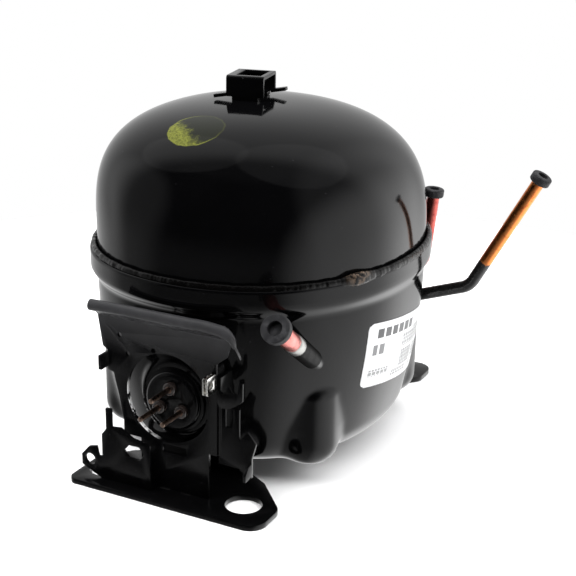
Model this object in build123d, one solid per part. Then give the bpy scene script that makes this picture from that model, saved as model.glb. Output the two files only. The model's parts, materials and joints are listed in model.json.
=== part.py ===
from build123d import *
import math
import os

# Hermetic reciprocating compressor, millimetres, +Z up.
# Origin: centre of the four foot holes, on the underside of the feet. The terminal end faces -Y.

# --- driving dimensions -------------------------------------------------------------------------
FOOT_PITCH_X = 70.0
FOOT_PITCH_Y = 170.0
FOOT_HOLE_R = 8.0
FOOT_T = 2.5
FOOT_END_Y = 101.0
FOOT_NECK_Y = 57.0
RISER_HALF_WIDTH = 22.0
RISER_TOP_Z = 30.0

WALL = 2.8
PLAN_POWER = 2.14
PLAN_POINTS = 20
SHELL_CX = -0.7
SHELL_CY = -0.9
SHELL_A = 82.8
SHELL_B = 73.1
BOWL_FLOOR_Z = 9.6
BOWL_TOP_Z = 82.0
BOWL_TAPER = 0.135
BOWL_TAPER_POWER = 1.9
BOWL_CORNER_R = 12.0
RIM_A = 87.0
RIM_B = 76.0
RIM_BOTTOM_Z = 88.9
RIM_TOP_Z = 96.5
DOME_BASE_Z = 100.1
DOME_H = 61.2
DOME_SHIFT_X = -4.4
DOME_SHIFT_Y = -7.6
DOME_COS_POWER = 0.785
DOME_SIN_POWER = 0.65
SKIRT_BOTTOM_Z = 89.2
BEAD_H = 3.0
BEAD_SET_BACK = 1.0
BEAD_ROUND_R = 1.5

CLIP_CENTRE = (-6.1, -5.7)
CLIP_TURN = 12.0
CLIP_HALF_X = 8.7
CLIP_HALF_Y = 10.4
CLIP_UNDER_Z = 162.6
CLIP_TOP_Z = 172.0
CLIP_TAB_REACH = 5.8
CLIP_TAB_DEPTH = 3.6
CLIP_TAB_TILT = 10.0

BULGE_X = 46.0
BULGE_Y = 45.5
BULGE_R = 13.5
BULGE_TOP_Z = 51.0
BULGE_TOP_R = 8.0
BULGE_FLOOR_R = 10.0

TERMINAL_Z = 42.9
TERMINAL_R = 13.3
TERMINAL_FACE_Y = -86.3
CUP_DEPTH = 12.0
CUP_FACE_T = 3.5
CUP_WALL = 2.0
PAD_R = 18.0
PAD_FACE_Y = -82.5
PAD_ROOT_Y = -60.0
PIN_R = 1.15
PIN_SEALED_R = 1.5
PIN_CIRCLE_R = 6.35
PIN_TIP_Y = -102.3
PIN_ROOT_Y = -73.0
SEAL_R = 3.0
SEAL_RISE = 2.2

SHEET_T = 1.5
FENCE_Y = -87.3
FENCE_HOLE_R = 20.3
FENCE_HOLE_Z = 45.5
FENCE_LEFT_X = -35.0
FENCE_RIGHT_X = 31.0
FENCE_SIDE_X = 24.0
FENCE_FOOT_Z = 24.0
LIP_Y = -94.5
LIP_FOLD_Z = 77.5
LIP_TOP_Z = 85.5
ANCHOR_Y = -93.0
RELAY_CLIP_X = 24.0

SUCTION_OD = 8.0
SUCTION_ID = 6.4
SUCTION_INSERT_OD = 7.4
SUCTION_ROOT = Vector(52.0, -52.8, 60.1)
SUCTION_TIP = Vector(54.5, -93.4, 88.2)
SUCTION_EXPOSED = 30.3
COLLAR_OD = 8.4
SMALL_OD = 6.0
SMALL_ID = 4.6
DISCHARGE_INNER_Z = 72.0
DISCHARGE_POINTS = [(38.0, 55.0, 72.0), (38.0, 55.0, 51.9), (83.0, 55.0, 67.8), (112.9, 55.0, 123.5)]
DISCHARGE_BEND_R = 10.0
PROCESS_POINTS = [(32.0, 66.0, 67.6), (54.3, 66.0, 70.0), (57.8, 66.0, 107.0)]
PROCESS_BEND_R = 8.0
PLUG_CLEARANCE = 0.05
PLUG_STEM = 10.0
PLUG_FLANGE_T = 4.0
PLUG_RECESS = 2.5
SUCTION_PLUG_R = 6.2
SMALL_PLUG_R = 4.9

SPRING_X = 42.0
SPRING_Y = 42.0
SPRING_BOTTOM_Z = 13.4
SPRING_COIL_R = 7.0
SPRING_WIRE_R = 0.9
SPRING_TURNS = 5.0
SEAT_STUD_R = 2.6
SEAT_STUD_TOP_Z = 21.0
SNUBBER_R = 5.8
SNUBBER_COLLAR_R = 7.4
LOWER_SNUBBER_TOP_Z = 23.0
UPPER_SNUBBER_Z = 31.0

STATOR_HALF = 50.0
STATOR_CUT = 8.0
STATOR_Z0 = 38.0
STATOR_Z1 = 70.0
STATOR_BORE_R = 30.0
STATOR_FLANGE_T = 4.0
WINDING_R = 40.0
WINDING_INNER_R = 32.0
WINDING_H = 11.0
WINDING_ROUND_R = 2.5
ROTOR_R = 29.5
END_RING_R = 28.0
END_RING_INNER_R = 16.0
END_RING_H = 4.0
WEIGHT_R = 27.0
WEIGHT_INNER_R = 17.0
WEIGHT_H = 5.0
SHAFT_R = 9.0
OIL_BORE_R = 5.0
OIL_BORE_DEPTH = 24.0
OIL_TUBE_INNER_R = 3.6
OIL_TUBE_BOTTOM_Z = 18.0
OIL_TUBE_GRIP = 10.0
RUNNING_GAP = 0.03
SCREW_POST = 40.0
SCREW_R = 2.5
SCREW_HEAD_R = 4.5
SCREW_HEAD_H = 3.5
SCREW_SOCKET_R = 2.2

CRANKCASE_Z0 = 84.0
CRANKCASE_Z1 = 92.0
CRANKCASE_HALF = 46.0
CRANKCASE_CORNER_R = 10.0
POST_R = 5.5
LIGHTENING_R = 7.0
HUB_R = 14.0
HUB_Z0 = 76.0
THRUST_T = 1.5
THRUST_R = 13.5
THRUST_CLEARANCE = 0.2
WEB_R = 15.0
WEB_Z1 = 98.5
CRANK_THROW = 8.0
CRANK_PIN_R = 6.0
CRANK_PIN_TOP_Z = 118.5
GALLERY_R = 1.3
GALLERY_DEPTH = 3.0
GALLERY_PLUG_R = 1.25
GALLERY_PLUG_RECESS = 0.2
CYLINDER_Z = 112.0
PISTON_R = 11.5
PISTON_ROOT = 5.0
GROOVE_W = 1.0
GROOVE_DEPTH = 0.3
BORE_END_Y = 44.3
PISTON_FACE_Y = 43.8
BLOCK_X = 20.0
BLOCK_Z = 17.0
BLOCK_Y0 = 21.0
YOKE_R = 12.5
YOKE_BORE_R = 9.5
YOKE_HALF_LENGTH = 22.0
YOKE_SLOT_HALF = 6.5
YOKE_SLOT_SPARE = 0.8
SLIDE_BLOCK_HALF = 9.0
VALVE_PLATE_T = 2.5
VALVE_X = 5.0
SUCTION_PORT_R = 2.4
DISCHARGE_PORT_R = 2.0
PORT_RISE = 2.0
REED_T = 0.3
SUCTION_REED_HALF = 2.5
DISCHARGE_REED_HALF = 3.0
REED_TOP_Z = 117.5
REED_POCKET_SPARE = 1.3
REED_POCKET_DEPTH = 1.7
STOP_LIFT = 2.4
STOP_T = 1.0
GASKET_T = 0.8
HEAD_Y1 = 60.0
HEAD_WEB_HALF = 1.0
PLENUM_X = 15.0
PLENUM_Z = 12.0
HEAD_SCREW_X = 17.2
HEAD_SCREW_Z = 14.2
HEAD_SCREW_R = 1.9
HEAD_SCREW_HEAD_R = 3.2
HEAD_SCREW_HEAD_H = 3.0
HEAD_SCREW_ROOT_Y = 30.0
INLET_Y = 52.5
MUFFLER_WALL = 2.0
DISCHARGE_MUFFLER_X = 34.0
DISCHARGE_MUFFLER_Y = -24.0
DISCHARGE_MUFFLER_R = 11.0
DISCHARGE_MUFFLER_TOP_Z = 108.0
LINE_R = 1.6
LINE_BORE_R = 0.9
CONNECTOR_R = 10.5
CONNECTOR_Y0 = -79.0
CONNECTOR_Y1 = -69.0
LEAD_R = 1.3
LEAD_PITCH = 3.2
LEAD_BEND_Y = -60.0
LEAD_Z = 76.0


# --- helpers ------------------------------------------------------------------------------------
def block(x0, x1, y0, y1, z0, z1):
    centre = Pos((x0 + x1) / 2, (y0 + y1) / 2, (z0 + z1) / 2)
    return centre * Box(x1 - x0, y1 - y0, z1 - z0)


def rod(start, end, radius):
    start = Vector(*start)
    end = Vector(*end)
    plane = Plane(origin=start, z_dir=end - start)
    return extrude(plane * Circle(radius), amount=(end - start).length)


def rod_z(x, y, z0, z1, radius):
    return rod((x, y, z0), (x, y, z1), radius)


def rod_y(x, z, y0, y1, radius):
    return rod((x, y0, z), (x, y1, z), radius)


def ring_z(x, y, z0, z1, outer, inner):
    return rod_z(x, y, z0, z1, outer) - rod_z(x, y, z0, z1, inner)


def upright_sheet(points, y, thickness):
    plane = Plane(origin=(0, y, 0), x_dir=(1, 0, 0), z_dir=(0, -1, 0))
    return extrude(plane * make_face(Polyline(*points, close=True)), amount=thickness)


def side_sheet(points, x, thickness):
    plane = Plane(origin=(x, 0, 0), x_dir=(0, 1, 0), z_dir=(1, 0, 0))
    return extrude(plane * make_face(Polyline(*points, close=True)), amount=thickness)


def flat_sheet(points, z, thickness):
    return extrude(Pos(0, 0, z) * make_face(Polyline(*points, close=True)), amount=thickness)


def pipe(points, bend_r, outer_r, inner_r):
    if len(points) == 2:
        path = Line(*points)
    else:
        path = FilletPolyline(*points, radius=bend_r)
    plane = Plane(origin=path @ 0, z_dir=path % 0)
    tube = sweep(plane * Circle(outer_r), path=path)
    if inner_r > 0:
        tube = tube - sweep(plane * Circle(inner_r), path=path)
    return tube


def corners(x, y):
    return [(sx * x, sy * y) for sx in (-1, 1) for sy in (-1, 1)]


def union(shapes):
    total = shapes[0]
    for shape in shapes[1:]:
        total = total + shape
    return total


def save(node, shape):
    export_step(shape, os.path.join("parts", node + ".step"))


def save_group(node, shapes):
    save(node, Compound(children=[solid for shape in shapes for solid in shape.solids()]))


# --- shells -------------------------------------------------------------------------------------
def power(value):
    return math.copysign(abs(value) ** (2 / PLAN_POWER), value)


def oval(z, a, b, shift=0.0):
    centre = Pos(SHELL_CX + DOME_SHIFT_X * shift, SHELL_CY + DOME_SHIFT_Y * shift, z)
    turns = [2 * math.pi * step / PLAN_POINTS for step in range(PLAN_POINTS)]
    points = [(b * power(math.cos(turn)), a * power(math.sin(turn))) for turn in turns]
    return centre * make_face(Spline(*points, periodic=True))


def oval_band(z0, z1, a, b):
    return extrude(oval(z0, a, b), amount=z1 - z0)


def bowl(inset):
    floor_z = BOWL_FLOOR_Z + inset
    sections = []
    for depth in (1.0, 0.8, 0.6, 0.4, 0.2, 0.0):
        z = BOWL_TOP_Z - depth * (BOWL_TOP_Z - floor_z)
        scale = 1 - BOWL_TAPER * depth ** BOWL_TAPER_POWER
        sections.append(oval(z, SHELL_A * scale - inset, SHELL_B * scale - inset))
    shape = loft(sections)
    floor_edge = shape.faces().sort_by(Axis.Z)[0].edges()
    return fillet(floor_edge, BOWL_CORNER_R - inset)


def dome(inset):
    sections = []
    for degrees in (0, 10, 20, 30, 40, 50, 60, 70, 78, 84):
        angle = math.radians(degrees)
        scale = math.cos(angle) ** DOME_COS_POWER
        rise = math.sin(angle) ** DOME_SIN_POWER
        z = DOME_BASE_Z + (DOME_H - inset) * rise
        a = (SHELL_A - inset) * scale
        b = (SHELL_B - inset) * scale
        sections.append(oval(z, a, b, rise ** 2))
    return loft(sections)


def flare(inset):
    return loft([
        oval(BOWL_TOP_Z, SHELL_A - inset, SHELL_B - inset),
        oval(RIM_BOTTOM_Z, RIM_A - inset, RIM_B - inset),
    ])


def bulge(x, y):
    shape = rod_z(x, y, BOWL_FLOOR_Z, BULGE_TOP_Z, BULGE_R)
    shape = fillet(shape.edges().sort_by(Axis.Z)[-1], BULGE_TOP_R)
    return fillet(shape.edges().sort_by(Axis.Z)[0], BULGE_FLOOR_R)


def lower_outside():
    pad = rod_y(0, TERMINAL_Z, PAD_FACE_Y, PAD_ROOT_Y, PAD_R)
    bulges = [bulge(x, y) for x, y in corners(BULGE_X, BULGE_Y)]
    rim = oval_band(RIM_BOTTOM_Z, RIM_TOP_Z, RIM_A, RIM_B)
    return union([bowl(0), flare(0), rim, pad] + bulges)


def lower_inside():
    floor_z = BOWL_FLOOR_Z + WALL
    top_z = BULGE_TOP_Z - BULGE_TOP_R
    pockets = [rod_z(x, y, floor_z, top_z, BULGE_R - WALL) for x, y in corners(BULGE_X, BULGE_Y)]
    mouth = oval_band(RIM_BOTTOM_Z, RIM_TOP_Z, RIM_A - WALL, RIM_B - WALL)
    return union([bowl(WALL), flare(WALL), mouth] + pockets)


def lower_shell(outside):
    shell = outside - lower_inside()
    shell = shell - rod_y(0, TERMINAL_Z, PAD_FACE_Y - 1, PAD_ROOT_Y, TERMINAL_R)
    shell = shell - rod(SUCTION_ROOT, collar_end(), COLLAR_OD / 2)
    shell = shell - pipe(DISCHARGE_POINTS, DISCHARGE_BEND_R, SMALL_OD / 2, 0)
    shell = shell - pipe(PROCESS_POINTS, PROCESS_BEND_R, SMALL_OD / 2, 0)
    return shell


def upper_shell():
    skirt = oval_band(SKIRT_BOTTOM_Z, DOME_BASE_Z, SHELL_A, SHELL_B)
    hollow = oval_band(SKIRT_BOTTOM_Z, DOME_BASE_Z, SHELL_A - WALL, SHELL_B - WALL)
    return skirt + dome(0) - hollow - dome(WALL)


def weld_bead():
    top_z = RIM_TOP_Z + BEAD_H
    outer = oval_band(RIM_TOP_Z, top_z, RIM_A - BEAD_SET_BACK, RIM_B - BEAD_SET_BACK)
    outer = fillet(outer.faces().sort_by(Axis.Z)[-1].edges(), BEAD_ROUND_R)
    return outer - oval_band(RIM_TOP_Z, top_z, SHELL_A, SHELL_B)


# --- shell fittings -----------------------------------------------------------------------------
def clip_tab(side):
    tab = block(-SHEET_T, CLIP_TAB_REACH, -CLIP_TAB_DEPTH, 0, 0, SHEET_T)
    if side < 0:
        tab = block(-CLIP_TAB_REACH, SHEET_T, 0, CLIP_TAB_DEPTH, 0, SHEET_T)
    return Pos(side * CLIP_HALF_X, side * CLIP_HALF_Y, CLIP_UNDER_Z) * Rot(0, -CLIP_TAB_TILT, 0) * tab


def tray_holder():
    y = CLIP_HALF_Y
    under_z = CLIP_UNDER_Z
    top_z = CLIP_TOP_Z
    ceiling_z = top_z - SHEET_T
    hat = side_sheet([
        (-y, under_z), (SHEET_T - y, under_z), (SHEET_T - y, ceiling_z), (y - SHEET_T, ceiling_z),
        (y - SHEET_T, under_z), (y, under_z), (y, top_z), (-y, top_z),
    ], -CLIP_HALF_X, 2 * CLIP_HALF_X)
    hat = fillet(hat.edges().filter_by(Axis.X).filter_by_position(Axis.Z, top_z - 0.1, top_z + 0.1), SHEET_T)
    slot = block(-5, 6.5, -7.5, 7.5, ceiling_z - 1, top_z + 1)
    front_flange = block(-6, 6, -y, -y + 5, under_z - 3, under_z + SHEET_T / 2)
    rear_flange = block(-6, 6, y - 5, y, under_z - 3, under_z + SHEET_T / 2)
    holder = union([hat, clip_tab(-1), clip_tab(1), front_flange, rear_flange]) - slot
    return Pos(*CLIP_CENTRE, 0) * Rot(0, 0, CLIP_TURN) * holder - dome(0)


def rating_label(outside):
    half_length = 38.0
    half_height = 15.5
    tilt = 9.0
    film_t = 0.2
    corner_r = 3.0
    frame = Pos(45, 6, 52) * Rot(-tilt, 0, 0) * Box(60, 2 * half_length, 2 * half_height)
    frame = fillet(frame.edges().filter_by(Axis.X), corner_r)
    return bowl(-film_t) & frame - outside


def foot(sign, outside):
    left = -45.5
    right = 50.5
    outline = [
        (left, FOOT_END_Y), (right, FOOT_END_Y), (right, 82), (34, 64), (RISER_HALF_WIDTH, FOOT_NECK_Y),
        (-RISER_HALF_WIDTH, FOOT_NECK_Y), (-34, 64), (left, 78),
    ]
    plate = flat_sheet([(x, sign * y) for x, y in outline], 0, FOOT_T)
    plate = fillet(plate.edges().filter_by(Axis.Z).filter_by_position(Axis.X, right - 1, right + 1), 8.0)
    plate = fillet(plate.edges().filter_by(Axis.Z).filter_by_position(Axis.X, left - 1, left + 1), 4.0)
    neck = sorted([sign * FOOT_NECK_Y, sign * (FOOT_NECK_Y + FOOT_T)])
    riser = block(-RISER_HALF_WIDTH, RISER_HALF_WIDTH, neck[0], neck[1], 0, RISER_TOP_Z)
    shape = plate + riser - outside
    for x in (-FOOT_PITCH_X / 2, FOOT_PITCH_X / 2):
        shape = shape - rod_z(x, sign * FOOT_PITCH_Y / 2, -1, FOOT_T + 1, FOOT_HOLE_R)
    for x in (-2.5, 8.0):
        shape = shape - Pos(x, sign * 88.5, FOOT_T / 2) * Box(5.5, 2.2, FOOT_T + 2)
    return shape


# --- terminal end -------------------------------------------------------------------------------
def pin_places():
    return [
        (PIN_CIRCLE_R * math.sin(math.radians(a)), TERMINAL_Z + PIN_CIRCLE_R * math.cos(math.radians(a)))
        for a in (0, 120, 240)
    ]


def terminal_cup():
    back_y = TERMINAL_FACE_Y + CUP_DEPTH
    flange_t = 1.2
    cup = rod_y(0, TERMINAL_Z, TERMINAL_FACE_Y, back_y, TERMINAL_R)
    cup = fillet(cup.edges().sort_by(Axis.Y)[0], 2.0)
    hollow = rod_y(0, TERMINAL_Z, TERMINAL_FACE_Y + CUP_FACE_T, back_y, TERMINAL_R - CUP_WALL)
    flange = rod_y(0, TERMINAL_Z, PAD_FACE_Y - flange_t, PAD_FACE_Y, TERMINAL_R + 1.4)
    cup = cup + flange - hollow
    for x, z in pin_places():
        cup = cup - rod_y(x, z, TERMINAL_FACE_Y - 1, TERMINAL_FACE_Y + CUP_FACE_T + 1, SEAL_R)
    return cup


def glass_seals():
    front_y = TERMINAL_FACE_Y - SEAL_RISE
    back_y = TERMINAL_FACE_Y + CUP_FACE_T + 1
    seals = []
    for x, z in pin_places():
        body = rod_y(x, z, front_y, back_y, SEAL_R)
        body = fillet(body.edges().sort_by(Axis.Y)[0], 0.8)
        seals.append(body - rod_y(x, z, front_y - 1, back_y + 1, PIN_SEALED_R))
    return seals


def terminal_pins():
    sealed_y = TERMINAL_FACE_Y - SEAL_RISE
    pins = []
    for x, z in pin_places():
        pin = rod_y(x, z, PIN_TIP_Y, sealed_y, PIN_R)
        pin = fillet(pin.edges().sort_by(Axis.Y)[0], 0.5)
        pins.append(pin + rod_y(x, z, sealed_y, PIN_ROOT_Y, PIN_SEALED_R))
    return pins


def fence_lip(x, fold_z, lip_z, back):
    face = FENCE_Y - SHEET_T
    plane = Plane(origin=(x, 0, 0), x_dir=(0, 1, 0), z_dir=(1, 0, 0))
    edge = [(LIP_Y - 0.7 + back, lip_z - 1.2), (LIP_Y + 0.4 + back, lip_z)]
    return plane * make_face(Polyline((FENCE_Y, fold_z), (face, fold_z), *edge, close=True))


def terminal_fence():
    side = FENCE_SIDE_X
    foot_z = FENCE_FOOT_Z
    outline = [
        (FENCE_LEFT_X, LIP_FOLD_Z), (-32.8, 63.5), (-30.5, 62), (-30.5, 53), (-27.5, 52), (-25, 42),
        (-22.8, 30), (-22.8, foot_z), (-14, foot_z), (-14, FOOT_T), (20, FOOT_T), (20, foot_z),
        (side, foot_z), (side, 66), (29, 70), (FENCE_RIGHT_X, LIP_FOLD_Z),
    ]
    plate = upright_sheet(outline, FENCE_Y, SHEET_T)
    plate = plate - rod_y(0, FENCE_HOLE_Z, FENCE_Y - 5, FENCE_Y + 5, FENCE_HOLE_R)
    plate = plate - upright_sheet([(-3, 20), (9, 20), (9, 24), (-3, 24)], FENCE_Y + 1, SHEET_T + 2)
    for x, z in ((-20, 62), (-7, 66), (-24, 70)):
        plate = plate - rod_y(x, z, FENCE_Y - 5, FENCE_Y + 5, 1.1)
    lip_z = LIP_TOP_Z + 0.4
    section = fence_lip(FENCE_LEFT_X, LIP_FOLD_Z, lip_z, 0)
    lip = extrude(section, amount=FENCE_RIGHT_X - FENCE_LEFT_X, dir=(1, 0, 0))
    corner = loft([
        fence_lip(FENCE_RIGHT_X, LIP_FOLD_Z, lip_z, 0),
        fence_lip(FENCE_RIGHT_X + 4.2, LIP_FOLD_Z - 7.5, LIP_FOLD_Z, 1.8),
    ])
    tab = block(-31.5, -30.0, FENCE_Y - SHEET_T - 5.5, FENCE_Y, 54.5, 61)
    side_flange = block(side - SHEET_T, side, FENCE_Y, FENCE_Y + 5, 26, 64)
    return union([plate, lip, corner, tab, side_flange])


def ground_tab():
    face = FENCE_Y - SHEET_T
    left = 21.4
    right = 23.8
    reach = 7.5
    tab = block(left, right, face - reach, face, 54.0, 62.0)
    tab = fillet(tab.edges().filter_by(Axis.X), 1.2)
    hole = rod((left - 1, face - 4.2, 58), (right + 1, face - 4.2, 58), 1.5)
    fold = block(left + 0.8, right - 0.8, face - reach - 0.1, face - 1.2, 53, 63)
    return tab - hole - fold


def cord_anchor_bracket(outside):
    y = ANCHOR_Y
    right = -6.0
    outline = [
        (-42, 7), (-42, 12), (-38, 16.5), (-34, 17.5), (-33, 13), (-31, 13), (-31, 24), (-28.6, 27),
        (-28.6, 37), (-25.6, 37), (-25.6, 28.5), (-21, 29), (-15, 25.5), (right, 24), (right, FOOT_T),
        (-32, FOOT_T),
    ]
    plate = upright_sheet(outline, y, SHEET_T)
    plate = plate - rod_y(-37.5, 10.5, y - 5, y + 5, 2.6)
    window = [(-19.5, 18.9), (-16.9, 15.8), (-11.7, 15.8), (-9.1, 18.9), (-11.7, 22), (-16.9, 22)]
    plate = plate - upright_sheet(window, y + 1, SHEET_T + 2)
    base = block(-30, right, y, FENCE_Y - SHEET_T, FOOT_T, FOOT_T + SHEET_T)
    return plate + base - outside


def relay_clip_bracket(outside):
    x = RELAY_CLIP_X
    upper_y = -88.0
    lower_y = -86.0
    back = block(x, x + SHEET_T, upper_y, -78.0, FENCE_FOOT_Z, 60)
    upper = upright_sheet([
        (x, 50), (x, 55.5), (27, 53.5), (28.5, 55.5), (30, 58), (31.5, 55.5), (34, 54), (34.6, 60),
        (36.6, 60), (36.6, 52), (33, 49), (29, 47), (25.5, 47.5),
    ], upper_y, SHEET_T)
    lower = upright_sheet([
        (x, 24), (x, 46), (27.5, 46), (27.5, 38), (31, 38), (31, 47), (34, 47), (34, 33), (38, 38),
        (42, 33), (40, 26), (40, 17), (36, 17), (34, 20), (x, 20),
    ], lower_y, SHEET_T)
    hook = side_sheet([(-92.5, 17), (lower_y, 18), (lower_y, 24), (-90, 23), (-92.5, 20)], 38.5, SHEET_T)
    return union([back, upper, lower, hook]) - outside


# --- tubes and transit plugs --------------------------------------------------------------------
def suction_way():
    return (SUCTION_TIP - SUCTION_ROOT).normalized()


def collar_end():
    return SUCTION_TIP - suction_way() * SUCTION_EXPOSED


def suction_collar():
    collar = rod(SUCTION_ROOT, collar_end(), COLLAR_OD / 2)
    return collar - rod(SUCTION_ROOT, collar_end(), SUCTION_INSERT_OD / 2)


def suction_tube():
    exposed = rod(collar_end(), SUCTION_TIP, SUCTION_OD / 2)
    inserted = rod(SUCTION_ROOT, collar_end(), SUCTION_INSERT_OD / 2)
    return exposed + inserted - rod(SUCTION_ROOT, SUCTION_TIP, SUCTION_ID / 2)


def small_tube(points, bend_r):
    return pipe(points, bend_r, SMALL_OD / 2, SMALL_ID / 2)


def transit_plug(tip, direction, tube_id, flange_r):
    direction = direction.normalized()
    face = tip + direction * PLUG_FLANGE_T
    stem = rod(tip - direction * PLUG_STEM, tip, tube_id / 2 - PLUG_CLEARANCE)
    flange = rod(tip, face, flange_r)
    flange = fillet(flange.edges(), 0.8)
    return stem + flange - rod(face - direction * PLUG_RECESS, face, flange_r / 2)


def tip_direction(points):
    return Vector(*points[-1]) - Vector(*points[-2])


# --- suspension ---------------------------------------------------------------------------------
def spring_seats():
    floor_z = BOWL_FLOOR_Z + WALL
    return [rod_z(x, y, floor_z, SEAT_STUD_TOP_Z, SEAT_STUD_R) for x, y in corners(SPRING_X, SPRING_Y)]


def lower_snubbers():
    floor_z = BOWL_FLOOR_Z + WALL
    snubbers = []
    for x, y in corners(SPRING_X, SPRING_Y):
        collar = rod_z(x, y, floor_z, SPRING_BOTTOM_Z, SNUBBER_COLLAR_R)
        sleeve = rod_z(x, y, SPRING_BOTTOM_Z, LOWER_SNUBBER_TOP_Z, SNUBBER_R)
        snubbers.append(collar + sleeve - rod_z(x, y, floor_z, SEAT_STUD_TOP_Z, SEAT_STUD_R))
    return snubbers


def suspension_springs():
    height = STATOR_Z0 - SPRING_BOTTOM_Z - 2 * SPRING_WIRE_R
    springs = []
    for x, y in corners(SPRING_X, SPRING_Y):
        start_z = SPRING_BOTTOM_Z + SPRING_WIRE_R
        path = Pos(x, y, start_z) * Helix(height / SPRING_TURNS, height, SPRING_COIL_R)
        plane = Plane(origin=path @ 0, z_dir=path % 0)
        springs.append(sweep(plane * Circle(SPRING_WIRE_R), path=path, is_frenet=True))
    return springs


def upper_snubbers():
    return [rod_z(x, y, UPPER_SNUBBER_Z, STATOR_Z0, SNUBBER_R) for x, y in corners(SPRING_X, SPRING_Y)]


# --- motor --------------------------------------------------------------------------------------
def stator_core():
    far = STATOR_HALF
    near = STATOR_HALF - STATOR_CUT
    outline = [(far, near), (near, far), (-near, far), (-far, near),
               (-far, -near), (-near, -far), (near, -far), (far, -near)]
    core = flat_sheet(outline, STATOR_Z0, STATOR_Z1 - STATOR_Z0)
    core = core - rod_z(0, 0, STATOR_Z0, STATOR_Z1, STATOR_BORE_R)
    for x, y in corners(SCREW_POST, SCREW_POST):
        core = core - rod_z(x, y, STATOR_Z0 + STATOR_FLANGE_T, STATOR_Z1, SCREW_R)
    return core


def winding(z0, z1):
    ring = ring_z(0, 0, z0, z1, WINDING_R, WINDING_INNER_R)
    return fillet(ring.edges().filter_by(GeomType.CIRCLE), WINDING_ROUND_R)


def stator_screws():
    screws = []
    head_z = CRANKCASE_Z1
    for x, y in corners(SCREW_POST, SCREW_POST):
        shank = rod_z(x, y, STATOR_Z0 + STATOR_FLANGE_T, head_z, SCREW_R)
        head = rod_z(x, y, head_z, head_z + SCREW_HEAD_H, SCREW_HEAD_R)
        socket = extrude(Pos(x, y, head_z + 1.5) * RegularPolygon(SCREW_SOCKET_R, 6), amount=SCREW_HEAD_H)
        screws.append(shank + head - socket)
    return screws


def rotor_core():
    return ring_z(0, 0, STATOR_Z0, STATOR_Z1, ROTOR_R, SHAFT_R)


def rotor_end_rings():
    lower = ring_z(0, 0, STATOR_Z0 - END_RING_H, STATOR_Z0, END_RING_R, END_RING_INNER_R)
    upper = ring_z(0, 0, STATOR_Z1, STATOR_Z1 + END_RING_H, END_RING_R, END_RING_INNER_R)
    return [lower, upper]


def counterweight():
    z0 = STATOR_Z1 + END_RING_H
    ring = ring_z(0, 0, z0, z0 + WEIGHT_H, WEIGHT_R, WEIGHT_INNER_R)
    return ring & block(-WEIGHT_R, WEIGHT_R, -WEIGHT_R, 0, z0, z0 + WEIGHT_H)


def crankshaft():
    bottom_z = STATOR_Z0 - END_RING_H
    web_z = CRANKCASE_Z1 + THRUST_T
    journal = rod_z(0, 0, bottom_z, web_z, SHAFT_R)
    web = rod_z(0, 0, web_z, WEB_Z1, WEB_R)
    crank_pin = rod_z(0, CRANK_THROW, WEB_Z1, CRANK_PIN_TOP_Z, CRANK_PIN_R)
    crank_pin = chamfer(crank_pin.edges().sort_by(Axis.Z)[-1], 0.6)
    shaft = union([journal, web, crank_pin])
    shaft = shaft - rod_z(0, 0, bottom_z, bottom_z + OIL_BORE_DEPTH + END_RING_H, OIL_BORE_R)
    return shaft - rod_z(0, CRANK_THROW / 2, CRANK_PIN_TOP_Z - GALLERY_DEPTH, CRANK_PIN_TOP_Z, GALLERY_R)


def oil_pump_tube():
    top_z = STATOR_Z0 - END_RING_H + OIL_TUBE_GRIP
    return ring_z(0, 0, OIL_TUBE_BOTTOM_Z, top_z, OIL_BORE_R, OIL_TUBE_INNER_R)


def oil_gallery_plug():
    top_z = CRANK_PIN_TOP_Z - GALLERY_PLUG_RECESS
    return rod_z(0, CRANK_THROW / 2, CRANK_PIN_TOP_Z - GALLERY_DEPTH, top_z, GALLERY_PLUG_R)


# --- pump ---------------------------------------------------------------------------------------
def crankcase():
    half = CRANKCASE_HALF
    plate = block(-half, half, -half, half, CRANKCASE_Z0, CRANKCASE_Z1)
    plate = fillet(plate.edges().filter_by(Axis.Z), CRANKCASE_CORNER_R)
    hub = rod_z(0, 0, HUB_Z0, CRANKCASE_Z1, HUB_R)
    posts = [rod_z(x, y, STATOR_Z1, CRANKCASE_Z0, POST_R) for x, y in corners(SCREW_POST, SCREW_POST)]
    cylinder = block(-BLOCK_X, BLOCK_X, BLOCK_Y0, BORE_END_Y, CRANKCASE_Z1 - 1, CYLINDER_Z + BLOCK_Z)
    case = union([plate, hub, cylinder] + posts)
    case = case - rod_z(0, 0, HUB_Z0 - 1, CRANKCASE_Z1 + 1, SHAFT_R + RUNNING_GAP)
    case = case - rod_y(0, CYLINDER_Z, BLOCK_Y0 - 1, BORE_END_Y + 1, PISTON_R + RUNNING_GAP)
    for x, y in corners(SCREW_POST, SCREW_POST):
        case = case - rod_z(x, y, STATOR_Z1, CRANKCASE_Z1, SCREW_R)
    for x, z in corners(HEAD_SCREW_X, HEAD_SCREW_Z):
        case = case - rod_y(x, CYLINDER_Z + z, HEAD_SCREW_ROOT_Y, BORE_END_Y + 1, HEAD_SCREW_R)
    for x, y in ((-26, -26), (26, 0), (-26, 4)):
        case = case - rod_z(x, y, CRANKCASE_Z0 - 1, CRANKCASE_Z1 + 1, LIGHTENING_R)
    return case


def thrust_washer():
    bore_r = SHAFT_R + THRUST_CLEARANCE
    return ring_z(0, 0, CRANKCASE_Z1, CRANKCASE_Z1 + THRUST_T, THRUST_R, bore_r)


def rod_x(half_length, radius):
    return rod((-half_length, CRANK_THROW, CYLINDER_Z), (half_length, CRANK_THROW, CYLINDER_Z), radius)


def slide_block():
    body = rod_x(SLIDE_BLOCK_HALF, YOKE_BORE_R - RUNNING_GAP)
    bore_z0 = CYLINDER_Z - YOKE_R
    return body - rod_z(0, CRANK_THROW, bore_z0, CYLINDER_Z + YOKE_R, CRANK_PIN_R + RUNNING_GAP)


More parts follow.
